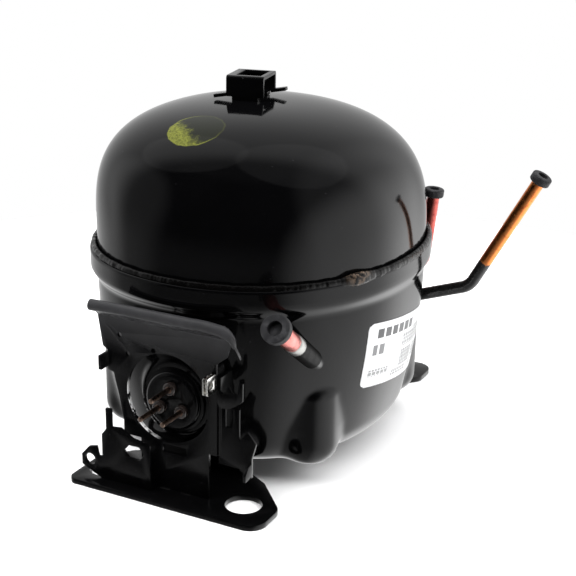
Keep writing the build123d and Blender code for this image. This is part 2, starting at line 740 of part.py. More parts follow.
def piston():
    y = CRANK_THROW
    cross = rod_x(YOKE_HALF_LENGTH, YOKE_R)
    body = rod_y(0, CYLINDER_Z, y + PISTON_ROOT, PISTON_FACE_Y, PISTON_R)
    body = chamfer(body.edges().sort_by(Axis.Y)[-1], 0.3)
    reach = CRANK_THROW + CRANK_PIN_R + YOKE_SLOT_SPARE
    half = YOKE_SLOT_HALF
    pin_slot = block(-reach, reach, y - half, y + half, CYLINDER_Z - YOKE_R - 1, CYLINDER_Z)
    pocket_half = SUCTION_REED_HALF + REED_POCKET_SPARE
    pocket_y = PISTON_FACE_Y - REED_POCKET_DEPTH
    reed_pocket = block(-VALVE_X - pocket_half, pocket_half - VALVE_X, pocket_y, PISTON_FACE_Y, 100.5, 118.5)
    shape = cross + body - rod_x(YOKE_HALF_LENGTH + 1, YOKE_BORE_R) - pin_slot - reed_pocket
    for groove_y in (30.0, 34.0):
        end_y = groove_y + GROOVE_W
        core = rod_y(0, CYLINDER_Z, groove_y, end_y, PISTON_R - GROOVE_DEPTH)
        shape = shape - (rod_y(0, CYLINDER_Z, groove_y, end_y, PISTON_R) - core)
    return shape


def valve_plate():
    y1 = BORE_END_Y + VALVE_PLATE_T
    plate = block(-BLOCK_X, BLOCK_X, BORE_END_Y, y1, CYLINDER_Z - BLOCK_Z, CYLINDER_Z + BLOCK_Z)
    plate = plate - rod_y(-VALVE_X, CYLINDER_Z + PORT_RISE, BORE_END_Y, y1, SUCTION_PORT_R)
    plate = plate - rod_y(VALVE_X, CYLINDER_Z + PORT_RISE, BORE_END_Y, y1, DISCHARGE_PORT_R)
    for x, z in corners(HEAD_SCREW_X, HEAD_SCREW_Z):
        plate = plate - rod_y(x, CYLINDER_Z + z, BORE_END_Y, y1, HEAD_SCREW_R)
    return plate


def suction_reed():
    left = -VALVE_X - SUCTION_REED_HALF
    right = -VALVE_X + SUCTION_REED_HALF
    return block(left, right, BORE_END_Y - REED_T, BORE_END_Y, 103.9, 117)


def discharge_reed():
    y = BORE_END_Y + VALVE_PLATE_T
    left = VALVE_X - DISCHARGE_REED_HALF
    right = VALVE_X + DISCHARGE_REED_HALF
    return block(left, right, y, y + REED_T, 103, REED_TOP_Z)


def discharge_valve_stop():
    y = BORE_END_Y + VALVE_PLATE_T
    root_z = 100.5
    left = VALVE_X - DISCHARGE_REED_HALF
    right = VALVE_X + DISCHARGE_REED_HALF
    leaf = block(left, right, y + STOP_LIFT, y + STOP_LIFT + STOP_T, root_z, REED_TOP_Z)
    return leaf + block(left, right, y, y + STOP_LIFT, root_z, root_z + 2)


def head_frame(y0, y1):
    z0 = CYLINDER_Z - PLENUM_Z
    z1 = CYLINDER_Z + PLENUM_Z
    frame = block(-BLOCK_X, BLOCK_X, y0, y1, CYLINDER_Z - BLOCK_Z, CYLINDER_Z + BLOCK_Z)
    frame = frame - block(-PLENUM_X, -HEAD_WEB_HALF, y0, y1, z0, z1)
    frame = frame - block(HEAD_WEB_HALF, PLENUM_X, y0, y1, z0, z1)
    for x, z in corners(HEAD_SCREW_X, HEAD_SCREW_Z):
        frame = frame - rod_y(x, CYLINDER_Z + z, y0, y1, HEAD_SCREW_R)
    return frame


def head_gasket():
    y0 = BORE_END_Y + VALVE_PLATE_T
    return head_frame(y0, y0 + GASKET_T)


def cylinder_head():
    y0 = BORE_END_Y + VALVE_PLATE_T + GASKET_T
    y2 = HEAD_Y1 - WALL
    lid = block(-BLOCK_X, BLOCK_X, y2, HEAD_Y1, CYLINDER_Z - BLOCK_Z, CYLINDER_Z + BLOCK_Z)
    lid = fillet(lid.edges().filter_by(Axis.Y), 1.5)
    for x, z in corners(HEAD_SCREW_X, HEAD_SCREW_Z):
        lid = lid - rod_y(x, CYLINDER_Z + z, y2, HEAD_Y1, HEAD_SCREW_R)
    inlet = rod((-BLOCK_X - 1, INLET_Y, CYLINDER_Z), (-PLENUM_X + 1, INLET_Y, CYLINDER_Z), 3)
    return head_frame(y0, y2) + lid - inlet


def head_screws():
    screws = []
    for x, z in corners(HEAD_SCREW_X, HEAD_SCREW_Z):
        shank = rod_y(x, CYLINDER_Z + z, HEAD_SCREW_ROOT_Y, HEAD_Y1, HEAD_SCREW_R)
        seat = Plane(origin=(x, HEAD_Y1, CYLINDER_Z + z), z_dir=(0, 1, 0))
        head = extrude(seat * RegularPolygon(HEAD_SCREW_HEAD_R, 6), amount=HEAD_SCREW_HEAD_H)
        screws.append(shank + head)
    return screws


def suction_muffler():
    left = -46
    right = -24
    t = MUFFLER_WALL
    body = block(left, right, 14, 46, 98, 122)
    body = fillet(body.edges().filter_by(Axis.Z), 5)
    hollow = block(left + t, right - t, 14 + t, 46 - t, 98 + t, 122 - t)
    spout = block(-31, -BLOCK_X, 44, 57, 107, 117)
    throat = block(-31 + t, -BLOCK_X - t, 43, 57 - t, 107 + t, 117 - t)
    passage = rod((right, INLET_Y, CYLINDER_Z), (-BLOCK_X + 1, INLET_Y, CYLINDER_Z), 2.4)
    inlet = rod((-35, 10, 110), (-35, 17, 110), 3)
    return body + spout - hollow - throat - passage - inlet


def discharge_muffler():
    x = DISCHARGE_MUFFLER_X
    y = DISCHARGE_MUFFLER_Y
    top_z = DISCHARGE_MUFFLER_TOP_Z
    body = rod_z(x, y, CRANKCASE_Z1, top_z, DISCHARGE_MUFFLER_R)
    body = fillet(body.edges().sort_by(Axis.Z)[-1], 3)
    return body - rod_z(x, y, CRANKCASE_Z1, top_z - MUFFLER_WALL, DISCHARGE_MUFFLER_R - MUFFLER_WALL)


def discharge_line():
    x, y = DISCHARGE_POINTS[0][:2]
    start = DISCHARGE_MUFFLER_X + DISCHARGE_MUFFLER_R + 0.2
    points = [
        (start, DISCHARGE_MUFFLER_Y, 99), (57, DISCHARGE_MUFFLER_Y, 99), (57, 24, 99), (x, y, 96),
        (x, y, DISCHARGE_INNER_Z - 4),
    ]
    return pipe(points, 6.0, LINE_R, LINE_BORE_R)


def motor_connector():
    body = rod_y(0, TERMINAL_Z, CONNECTOR_Y0, CONNECTOR_Y1, CONNECTOR_R)
    for x, z in pin_places():
        body = body - rod_y(x, z, CONNECTOR_Y0 - 1, PIN_ROOT_Y, PIN_SEALED_R)
    return body


def motor_leads():
    leads = []
    for x in (-LEAD_PITCH, 0, LEAD_PITCH):
        reach = -math.sqrt(WINDING_R ** 2 - x ** 2) - 0.4
        points = [
            (x, CONNECTOR_Y1, TERMINAL_Z), (x, LEAD_BEND_Y, TERMINAL_Z), (x, LEAD_BEND_Y, LEAD_Z),
            (x, reach, LEAD_Z),
        ]
        leads.append(pipe(points, 5.0, LEAD_R, 0))
    return leads


# --- assembly -----------------------------------------------------------------------------------
def main():
    os.makedirs("parts", exist_ok=True)
    outside = lower_outside()
    discharge_tip = Vector(*DISCHARGE_POINTS[-1])
    process_tip = Vector(*PROCESS_POINTS[-1])

    save("lower_shell", lower_shell(outside))
    save("upper_shell", upper_shell())
    save("weld_bead", weld_bead())
    save("tray_holder", tray_holder())
    save("rating_label", rating_label(outside))
    save("front_foot", foot(-1, outside))
    save("rear_foot", foot(1, outside))

    save("terminal_cup", terminal_cup())
    save_group("terminal_glass_seals", glass_seals())
    save_group("terminal_pins", terminal_pins())
    save("terminal_fence", terminal_fence() - outside)
    save("ground_tab", ground_tab())
    save("cord_anchor_bracket", cord_anchor_bracket(outside))
    save("relay_clip_bracket", relay_clip_bracket(outside))

    save("suction_collar", suction_collar())
    save("suction_tube", suction_tube())
    save("discharge_tube", small_tube(DISCHARGE_POINTS, DISCHARGE_BEND_R))
    save("process_tube", small_tube(PROCESS_POINTS, PROCESS_BEND_R))
    save("suction_plug", transit_plug(SUCTION_TIP, suction_way(), SUCTION_ID, SUCTION_PLUG_R))
    discharge_way = tip_direction(DISCHARGE_POINTS)
    process_way = tip_direction(PROCESS_POINTS)
    save("discharge_plug", transit_plug(discharge_tip, discharge_way, SMALL_ID, SMALL_PLUG_R))
    save("process_plug", transit_plug(process_tip, process_way, SMALL_ID, SMALL_PLUG_R))

    save_group("spring_seats", spring_seats())
    save_group("lower_snubbers", lower_snubbers())
    save_group("suspension_springs", suspension_springs())
    save_group("upper_snubbers", upper_snubbers())

    save("stator_core", stator_core())
    save("upper_winding", winding(STATOR_Z1, STATOR_Z1 + WINDING_H))
    save("lower_winding", winding(STATOR_Z0 - WINDING_H, STATOR_Z0))
    save_group("stator_screws", stator_screws())
    save("rotor_core", rotor_core())
    save_group("rotor_end_rings", rotor_end_rings())
    save("counterweight", counterweight())
    save("crankshaft", crankshaft())
    save("oil_pump_tube", oil_pump_tube())
    save("oil_gallery_plug", oil_gallery_plug())

    save("crankcase", crankcase())
    save("thrust_washer", thrust_washer())
    save("slide_block", slide_block())
    save("piston", piston())
    save("valve_plate", valve_plate())
    save("suction_reed", suction_reed())
    save("discharge_reed", discharge_reed())
    save("discharge_valve_stop", discharge_valve_stop())
    save("head_gasket", head_gasket())
    save("cylinder_head", cylinder_head())
    save_group("head_screws", head_screws())
    save("suction_muffler", suction_muffler())
    save("discharge_muffler", discharge_muffler())
    save("discharge_line", discharge_line())
    save("motor_connector", motor_connector())
    save_group("motor_leads", motor_leads())


main()
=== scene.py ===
import json
import math

import bmesh
import bpy
import numpy as np
from mathutils import Matrix, Vector
from mathutils.noise import noise

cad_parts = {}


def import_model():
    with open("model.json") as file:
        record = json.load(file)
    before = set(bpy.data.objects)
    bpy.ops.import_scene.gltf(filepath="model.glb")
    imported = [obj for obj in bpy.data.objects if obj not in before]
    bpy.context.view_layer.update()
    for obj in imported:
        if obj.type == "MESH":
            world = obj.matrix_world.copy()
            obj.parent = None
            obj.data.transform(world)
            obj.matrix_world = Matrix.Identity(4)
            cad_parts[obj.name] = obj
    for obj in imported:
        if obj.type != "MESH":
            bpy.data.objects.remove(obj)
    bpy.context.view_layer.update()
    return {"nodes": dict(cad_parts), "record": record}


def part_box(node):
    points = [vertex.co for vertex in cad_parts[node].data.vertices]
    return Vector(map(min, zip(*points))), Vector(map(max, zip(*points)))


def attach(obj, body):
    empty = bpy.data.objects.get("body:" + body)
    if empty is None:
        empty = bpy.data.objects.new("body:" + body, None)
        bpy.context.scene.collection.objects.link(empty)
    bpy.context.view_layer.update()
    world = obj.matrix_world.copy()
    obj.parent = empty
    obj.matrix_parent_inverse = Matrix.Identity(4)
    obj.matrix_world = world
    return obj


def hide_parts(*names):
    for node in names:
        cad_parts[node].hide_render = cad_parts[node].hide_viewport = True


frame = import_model()
record = frame["record"]
nodes = frame["nodes"]
slots = {part["node"]: part["material_slot"] for part in record["subparts"]}
bodies = {node: body for body, members in record["behaviour"]["bodies"].items() for node in members}
MM = 0.001


# --- where things are, taken from the frame -----------------------------------------------------
def middle(node):
    low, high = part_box(node)
    return (low + high) / 2


def half_size(node):
    low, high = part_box(node)
    return (high - low) / 2


FLOOR_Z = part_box("lower_shell")[0].z
dome_low, dome_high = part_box("upper_shell")
bead_low, bead_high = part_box("weld_bead")
SHELL_CENTRE = middle("weld_bead")
RIM_HALF = half_size("weld_bead") + Vector((MM, MM, 0)) * 0.95
DOME_HALF = half_size("upper_shell")
RIM_TOP = bead_low.z
DOME_BASE = bead_high.z + 0.6 * MM
DOME_RISE = dome_high.z - DOME_BASE
DOME_SHIFT = Vector((-4.4, -7.6, 0)) * MM
DIAGONAL_FULLNESS = 0.0229
WALL = 2.8 * MM
BOWL_TOP = 82.0 * MM
BOWL_TAPER = 0.135
BOWL_MID = 24.0 * MM
RIM_BOTTOM = 88.9 * MM
CORNER_R = 12.0 * MM
BULGE_X = 46.0 * MM
BULGE_Y = 45.5 * MM
BULGE_R = 13.5 * MM
BULGE_TOP = 51.0 * MM
PAD_FACE_Y = -82.5 * MM
PAD_R = 18.0 * MM
PAD_BACK_Y = -50.0 * MM
WELD_LUMP = Vector((64.2, -42.0, 98.0)) * MM
LUMP_R = 6.5 * MM
RIM_R = 80
RIPPLE = 1.7
STUB_SET_BACK = 6.0 * MM
TERMINAL = middle("terminal_cup")
FENCE_HOLE = Vector((0, -88.05, 45.5)) * MM
BLACK = (0.0006, 0.0006, 0.0007)


# --- mesh helpers -------------------------------------------------------------------------------
def new_object(name, mesh):
    thing = bpy.data.objects.new(name, mesh)
    bpy.context.scene.collection.objects.link(thing)
    return thing


def smooth(mesh, degrees=35):
    mesh.shade_smooth()
    mesh.set_sharp_from_angle(angle=math.radians(degrees))


def grid_mesh(name, points, closed=True, cap_start=False, cap_end=False, uv=False):
    """A mesh over rows x columns of points. closed joins the last column to the first."""
    rows, columns = points.shape[:2]
    vertices = [tuple(p) for p in points.reshape(-1, 3)]
    faces = []
    last = columns if closed else columns - 1
    for r in range(rows - 1):
        for c in range(last):
            d = (c + 1) % columns
            faces.append((r * columns + c, r * columns + d, (r + 1) * columns + d, (r + 1) * columns + c))
    if cap_start:
        faces.append(tuple(reversed(range(columns))))
    if cap_end:
        faces.append(tuple(range((rows - 1) * columns, rows * columns)))
    mesh = bpy.data.meshes.new(name)
    mesh.from_pydata(vertices, [], faces)
    mesh.validate()
    if uv:
        layer = mesh.uv_layers.new(name="flat")
        for loop in mesh.loops:
            row, column = divmod(loop.vertex_index, columns)
            layer.data[loop.index].uv = (column / (columns - 1), row / (rows - 1))
    return mesh


def wrapped_mesh(name, points):
    """A grid closed both ways, with doubled points merged and its faces turned outward."""
    mesh = grid_mesh(name, np.concatenate([points, points[:1]], axis=0))
    work = bmesh.new()
    work.from_mesh(mesh)
    bmesh.ops.remove_doubles(work, verts=work.verts, dist=0.0005 * MM)
    bmesh.ops.recalc_face_normals(work, faces=work.faces)
    work.to_mesh(mesh)
    work.free()
    return mesh


def apply_modifiers(thing):
    graph = bpy.context.evaluated_depsgraph_get()
    made = bpy.data.meshes.new_from_object(thing.evaluated_get(graph))
    thing.modifiers.clear()
    thing.data = made


def present(thing, node, material):
    """The piece stands for a CAD node: it rides on the node's body, wears the given material, and the node
    is hidden.
    """
    thing.data.materials.clear()
    thing.data.materials.append(material)
    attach(thing, bodies[node])
    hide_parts(node)


def dressed(node, material, bevel, segments=2):
    """A copy of a CAD node with clean facets, rounded edges and smooth shading."""
    source = nodes[node].data
    mesh = bpy.data.meshes.new(node + "_look")
    mesh.from_pydata([v.co[:] for v in source.vertices], [], [p.vertices[:] for p in source.polygons])
    work = bmesh.new()
    work.from_mesh(mesh)
    bmesh.ops.remove_doubles(work, verts=work.verts, dist=0.002 * MM)
    bmesh.ops.dissolve_limit(work, angle_limit=math.radians(0.5), verts=work.verts, edges=work.edges)
    work.to_mesh(mesh)
    work.free()
    thing = new_object(node + "_look", mesh)
    if bevel > 0:
        rounding = thing.modifiers.new("rounding", "BEVEL")
        rounding.width = bevel
        rounding.segments = segments
        rounding.limit_method = "ANGLE"
        rounding.angle_limit = math.radians(40)
        rounding.use_clamp_overlap = True
        apply_modifiers(thing)
    smooth(thing.data)
    present(thing, node, material)


# --- the shells ---------------------------------------------------------------------------------
def plan(turn, half_x, half_y):
    """A rounded oval, a little fuller at its diagonals than an ellipse."""
    fuller = 1 + DIAGONAL_FULLNESS * np.sin(2 * turn) ** 2
    return half_x * np.cos(turn) * fuller, half_y * np.sin(turn) * fuller


def even_turns(count):
    """Turns that space the points evenly round the oval."""
    turn = np.linspace(0, 2 * math.pi, 4001)
    x, y = plan(turn, DOME_HALF.x, DOME_HALF.y)
    travel = np.concatenate([[0], np.cumsum(np.hypot(np.diff(x), np.diff(y)))])
    return np.interp(np.linspace(0, travel[-1], count, endpoint=False), travel, turn)


def ring(turn, half_x, half_y, z, shift=(0, 0)):
    x, y = plan(turn, half_x, half_y)
    x = x + SHELL_CENTRE.x + shift[0]
    y = y + SHELL_CENTRE.y + shift[1]
    return np.stack([x, y, np.full_like(x, z)], axis=1)


def dome_profile(count):
    """(width share, height share) from the base to the crown, evenly spaced along the curve."""
    angle = np.linspace(0, math.pi / 2, 3001)
    share = np.cos(angle) ** 0.785
    share[-1] = 0
    rise = np.sin(angle) ** 0.65
    travel = np.hypot(np.diff(share) * DOME_HALF.x, np.diff(rise) * DOME_RISE)
    travel = np.concatenate([[0], np.cumsum(travel)])
    steps = np.linspace(0, travel[-1], count)
    return np.interp(steps, travel, share), np.interp(steps, travel, rise)


def upper_shell(material):
    turn = even_turns(288)
    rows = [ring(turn, DOME_HALF.x, DOME_HALF.y, z) for z in np.linspace(dome_low.z, DOME_BASE, 7)[:-1]]
    for share, rise in zip(*dome_profile(92)):
        share = max(share, 0.004)
        shift = DOME_SHIFT * rise ** 2
        z = DOME_BASE + DOME_RISE * rise
        rows.append(ring(turn, DOME_HALF.x * share, DOME_HALF.y * share, z, shift))
    shell = new_object("upper_shell_look", grid_mesh("upper_shell_look", np.array(rows), cap_end=True))
    thicken(shell)
    present(shell, "upper_shell", material)


def thicken(shell):
    wall = shell.modifiers.new("wall", "SOLIDIFY")
    wall.thickness = WALL
    wall.offset = -1
    apply_modifiers(shell)
    smooth(shell.data, 50)


def rounded(radial, axial, radius):
    """Distance to a body cut by a plane, with the meeting edge rounded."""
    a = radial + radius
    b = axial + radius
    return np.minimum(np.maximum(a, b), 0) + np.hypot(np.maximum(a, 0), np.maximum(b, 0)) - radius


def blended(a, b, reach):
    h = np.maximum(reach - np.abs(a - b), 0) / reach
    return np.minimum(a, b) - h * h * reach / 4


def bowl_distance(x, y, z):
    depth = np.clip((BOWL_TOP - z) / (BOWL_TOP - FLOOR_Z), 0, 1)
    share = 1 - BOWL_TAPER * depth ** 1.9
    across = (x - SHELL_CENTRE.x) / (DOME_HALF.x * share)
    along = (y - SHELL_CENTRE.y) / (DOME_HALF.y * share)
    turn = np.arctan2(along, across)
    fuller = 1 + DIAGONAL_FULLNESS * np.sin(2 * turn) ** 2
    reach = np.hypot(across, along)
    scale = np.hypot(DOME_HALF.x * np.cos(turn), DOME_HALF.y * np.sin(turn)) * share
    return rounded((reach - fuller) * scale, FLOOR_Z - z, CORNER_R)


def shell_distance(x, y, z):
    total = bowl_distance(x, y, z)
    reach = np.interp(z, [28 * MM, 42 * MM], [3.6 * MM, 1.0 * MM])
    for sx in (-1, 1):
        for sy in (-1, 1):
            radial = np.hypot(x - sx * BULGE_X, y - sy * BULGE_Y) - BULGE_R
            upper = rounded(radial, z - BULGE_TOP, 8 * MM)
            lower = rounded(radial, FLOOR_Z - z, 10 * MM)
            total = blended(total, np.maximum(upper, lower), reach)
    pad = rounded(np.hypot(x - TERMINAL.x, z - TERMINAL.z) - PAD_R, PAD_FACE_Y - y, 1.5 * MM)
    pad = np.maximum(pad, y - PAD_BACK_Y)
    return blended(total, pad, 3 * MM)


def reach_out(origin, direction):
    """The outermost crossing of the lower shell's surface along each ray."""
    inside = np.zeros(direction.shape[:-1])
    outside = np.full(inside.shape, 130 * MM)
    found = np.zeros(inside.shape, bool)
    for step in np.linspace(0.13, 0.0, 131):
        p = origin + direction * step
        hit = (shell_distance(p[..., 0], p[..., 1], p[..., 2]) < 0) & ~found
        inside[hit] = step
        outside[hit] = step + MM
        found |= hit
    for _ in range(26):
        half = (inside + outside) / 2
        p = origin + direction * half[..., None]
        within = shell_distance(p[..., 0], p[..., 1], p[..., 2]) < 0
        inside = np.where(within, half, inside)
        outside = np.where(within, outside, half)
    return origin + direction * inside[..., None]


def lower_shell(material):
    turn = even_turns(400)
    compass = np.arctan2(np.sin(turn) * DOME_HALF.y, np.cos(turn) * DOME_HALF.x)
    rows = []
    for down in np.radians(np.linspace(89.4, 0, 64)):
        direction = np.stack([
            np.cos(compass) * math.cos(down), np.sin(compass) * math.cos(down),
            np.full_like(compass, -math.sin(down)),
        ], axis=1)
        rows.append(reach_out(np.array([SHELL_CENTRE.x, SHELL_CENTRE.y, BOWL_MID]), direction))
    flat = np.stack([np.cos(compass), np.sin(compass), np.zeros_like(compass)], axis=1)
    for z in np.linspace(BOWL_MID, BOWL_TOP, 74)[1:]:
        rows.append(reach_out(np.array([SHELL_CENTRE.x, SHELL_CENTRE.y, z]), flat))
    for share in np.linspace(0, 1, 8)[1:]:
        ease = share * share * (3 - 2 * share)
        half_x = DOME_HALF.x + (RIM_HALF.x - DOME_HALF.x) * ease
        half_y = DOME_HALF.y + (RIM_HALF.y - DOME_HALF.y) * ease
        rows.append(ring(turn, half_x, half_y, BOWL_TOP + (RIM_BOTTOM - BOWL_TOP) * share))
    for z in (RIM_BOTTOM + 2 * MM, RIM_BOTTOM + 4 * MM, RIM_TOP - 1.2 * MM, RIM_TOP - 0.5 * MM):
        rows.append(ring(turn, RIM_HALF.x, RIM_HALF.y, z))
    rows.append(ring(turn, RIM_HALF.x - 0.25 * MM, RIM_HALF.y - 0.25 * MM, RIM_TOP - 0.08 * MM))
    rows.append(ring(turn, RIM_HALF.x - 0.6 * MM, RIM_HALF.y - 0.6 * MM, RIM_TOP))
    shell = new_object("lower_shell_look", grid_mesh("lower_shell_look", np.array(rows), cap_start=True))
    thicken(shell)
    present(shell, "lower_shell", material)


def bead_swell(x, y, z):
    """The bead's size here, 1 on average: ripples, roughness, and the lump."""
    place = Vector((x, y, z))
    run = math.atan2(y, x) * RIM_R / RIPPLE
    ripple = 0.16 * math.sin(run + 2 * noise(place * 90))
    rough = 0.42 * noise(place * 330) + 0.3 * noise(place * 700)
    near = math.exp(-((place - WELD_LUMP).length / LUMP_R) ** 2)
    return min(1 + 0.2 * (ripple + rough), 1.05) + 0.8 * near


def weld_bead(material):
    """A hand-run bead: ripples along the run, uneven width, and the lump where the run closes."""
    turn = even_turns(1500)
    half_width = 1.4 * MM
    height = 2.3 * MM
    base = ring(turn, DOME_HALF.x, DOME_HALF.y, RIM_TOP)
    rows = []
    for angle in np.linspace(-0.35, math.pi + 0.15, 15):
        out = half_width + half_width * math.cos(angle)
        up = height * math.sin(angle)
        row = []
        outward = ring(turn, DOME_HALF.x + out, DOME_HALF.y + out, RIM_TOP)
        for (bx, by, _), (x, y, z) in zip(base, outward):
            swell = bead_swell(x, y, z)
            row.append((bx + (x - bx) * swell, by + (y - by) * swell, z + up * swell - 0.2 * MM))
        rows.append(row)
    rows.append([(x, y, RIM_TOP - 0.1 * MM) for x, y, _ in base])
    points = np.array(rows)
    points[:, :, 2] = np.minimum(points[:, :, 2], bead_high.z + 0.4 * MM)
    mesh = wrapped_mesh("weld_bead_look", points)
    mesh.shade_smooth()
    present(new_object("weld_bead_look", mesh), "weld_bead", material)


def turned(name, origin, axis, profile, columns=72):
    """A body of revolution. profile is (distance along the axis, radius) pairs, from bore to outside."""
    side = axis.orthogonal().normalized()
    other = axis.cross(side)
    turns = np.linspace(0, 2 * math.pi, columns, endpoint=False)
    rows = []
    for reach, radius in profile:
        centre = origin + axis * reach
        rows.append([centre + side * radius * math.cos(t) + other * radius * math.sin(t) for t in turns])
    points = np.array([[tuple(p) for p in row] for row in rows])
    return new_object(name, wrapped_mesh(name, points))


def suction_tube(material):
    """An 8 mm stub, open at its tip, with a swaged sleeve and a thicker painted root behind it."""
    mount = next(mount for mount in record["mounts"] if mount["name"] == "suction_stub")
    axis = Vector(mount["axis"]).normalized()
    tip = Vector(mount["pos_m"]) + axis * STUB_SET_BACK
    bore = [(-44.0, 2.2), (-12.0, 2.2), (-11.5, 3.2), (-0.3, 3.2)]
    lip = [(0, 3.4), (0, 3.75), (-0.25, 4.0), (-16.6, 4.0), (-17.4, 3.7)]
    sleeve = [(-17.9, 4.1), (-18.5, 4.35), (-22.6, 4.35), (-23.5, 4.25), (-24.1, 4.0), (-24.5, 4.0)]
    root = [(-29.0, 4.3), (-44.0, 4.3)]
    profile = [(reach * MM, radius * MM) for reach, radius in bore + lip + sleeve + root]
    tube = turned("suction_tube_look", tip, axis, profile)
    smooth(tube.data, 50)
    present(tube, "suction_tube", material)


def fence_hem(material):
    """An added piece: the rolled hem along the fence's lip, turned down at its right end."""
    route = [Vector(p) * MM for p in (
        (-34.6, -94.2, 83.6), (-20, -94.3, 83.9), (-4, -94.3, 83.9), (12, -94.3, 83.9), (26, -94.3, 83.7),
        (31, -94.0, 82.6), (33.6, -93.2, 79.8), (34.4, -92.4, 76.6))]
    curve = bpy.data.curves.new("hem_route", "CURVE")
    curve.dimensions = "3D"
    curve.resolution_u = 10
    curve.bevel_depth = 2.5 * MM
    curve.bevel_resolution = 6
    curve.use_fill_caps = True
    spline = curve.splines.new("BEZIER")
    spline.bezier_points.add(len(route) - 1)
    for knot, place in zip(spline.bezier_points, route):
        knot.co = place
        knot.handle_left_type = knot.handle_right_type = "AUTO"
    spline.bezier_points[-1].radius = 0.35
    spline.bezier_points[-2].radius = 0.7
    shape = bpy.data.objects.new("hem_route", curve)
    bpy.context.scene.collection.objects.link(shape)
    graph = bpy.context.evaluated_depsgraph_get()
    mesh = bpy.data.meshes.new_from_object(shape.evaluated_get(graph))
    bpy.data.objects.remove(shape)
    hem = new_object("fence_hem_look", mesh)
    rounding = hem.modifiers.new("rounding", "BEVEL")
    rounding.width = 1.2 * MM
    rounding.segments = 4
    rounding.limit_method = "ANGLE"
    rounding.angle_limit = math.radians(60)
    apply_modifiers(hem)
    smooth(hem.data, 50)
    hem.data.materials.clear()
    hem.data.materials.append(material)
    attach(hem, bodies["terminal_fence"])


# --- finishes -----------------------------------------------------------------------------------
class Finish:
    """A material's node tree, with short ways to make the nodes that the finishes share."""

    def __init__(self, name):
        self.material = bpy.data.materials.new(name)
        self.material.use_nodes = True
        self.tree = self.material.node_tree
        self.shader = self.tree.nodes["Principled BSDF"]
        self.place = self.add("ShaderNodeTexCoord").outputs["Object"]

    def add(self, kind, **settings):
        node = self.tree.nodes.new(kind)
        for key, value in settings.items():
            setattr(node, key, value)
        return node

    def feed(self, source, target):
        if isinstance(source, bpy.types.NodeSocket):
            self.tree.links.new(source, target)
        else:
            target.default_value = source

    def noise(self, size, detail=4.0, roughness=0.5, place=None):
        """Noise whose features are about size metres across."""
        node = self.add("ShaderNodeTexNoise")
        self.feed(place or self.place, node.inputs["Vector"])
        node.inputs["Scale"].default_value = 1 / size
        node.inputs["Detail"].default_value = detail
        node.inputs["Roughness"].default_value = roughness
        return node.outputs["Fac"]

    def cells(self, size, feature="F1"):
        node = self.add("ShaderNodeTexVoronoi", feature=feature)
        self.feed(self.place, node.inputs["Vector"])
        node.inputs["Scale"].default_value = 1 / size
        return node.outputs["Distance"]

    def math(self, operation, a, b=0.0, clamp=False):
        node = self.add("ShaderNodeMath", operation=operation, use_clamp=clamp)
        self.feed(a, node.inputs[0])
        self.feed(b, node.inputs[1])
        return node.outputs[0]

    def ramp(self, value, start, end, low=0.0, high=1.0, kind="SMOOTHSTEP"):
        node = self.add("ShaderNodeMapRange", interpolation_type=kind)
        self.feed(value, node.inputs["Value"])
        node.inputs["From Min"].default_value = start
        node.inputs["From Max"].default_value = end
        node.inputs["To Min"].default_value = low
        node.inputs["To Max"].default_value = high
        return node.outputs["Result"]

    def mix(self, share, a, b):
        node = self.add("ShaderNodeMix", data_type="RGBA")
        self.feed(share, node.inputs[0])
        self.feed(tuple(a) + (1,) if isinstance(a, tuple) else a, node.inputs[6])
        self.feed(tuple(b) + (1,) if isinstance(b, tuple) else b, node.inputs[7])
        return node.outputs[2]

    def offset(self, point):
        node = self.add("ShaderNodeVectorMath", operation="SUBTRACT")
        self.feed(self.place, node.inputs[0])
        node.inputs[1].default_value = point
        return node.outputs[0]

    def along(self, point, direction):
        """How far the surface lies from point, measured along direction."""
        node = self.add("ShaderNodeVectorMath", operation="DOT_PRODUCT")
        self.feed(self.offset(point), node.inputs[0])
        node.inputs[1].default_value = direction
        return node.outputs["Value"]

    def distance(self, point):
        node = self.add("ShaderNodeVectorMath", operation="LENGTH")
        self.feed(self.offset(point), node.inputs[0])
        return node.outputs["Value"]

    def axis(self, name):
        node = self.add("ShaderNodeSeparateXYZ")
        self.feed(self.place, node.inputs[0])
        return node.outputs[name]

    def set(self, **sockets):
        names = {"color": "Base Color", "rough": "Roughness", "metal": "Metallic", "ior": "IOR",
                 "coat": "Coat Weight", "coat_rough": "Coat Roughness", "sheen": "Sheen Weight",
                 "specular": "Specular IOR Level", "anisotropy": "Anisotropic"}
        for key, value in sockets.items():
            if isinstance(value, tuple):
                value = value + (1,)
            self.feed(value, self.shader.inputs[names[key]])
        return self

    def bump(self, height, depth, strength=1.0):
        node = self.add("ShaderNodeBump")
        node.inputs["Strength"].default_value = strength
        node.inputs["Distance"].default_value = depth
        self.feed(height, node.inputs["Height"])
        self.feed(node.outputs[0], self.shader.inputs["Normal"])
        return self


def specks(f, size, share):
    """Small scattered dots, 1 inside a dot."""
    return f.ramp(f.cells(size), share, share * 0.6)


def enamel(name, gloss, texture, marked=False):
    """Deep black baked paint with a few dust specks. gloss is its roughness where it is clean."""
    f = Finish(name)
    base = f.mix(f.noise(30 * MM), BLACK, (0.0016, 0.0016, 0.0018))
    dust = f.math("MULTIPLY", specks(f, 5 * MM, 0.045), f.noise(11 * MM))
    color = f.mix(dust, base, (0.05, 0.05, 0.055))
    haze = f.ramp(f.noise(18 * MM, 6, 0.6), 0.35, 0.75, gloss, gloss * 1.8)
    if marked:
        color, haze = paint_mark(f, color, haze)
    f.set(color=color, rough=haze, specular=0.22)
    f.bump(f.noise(texture, 2), 0.02 * MM, 0.35)
    return f.material


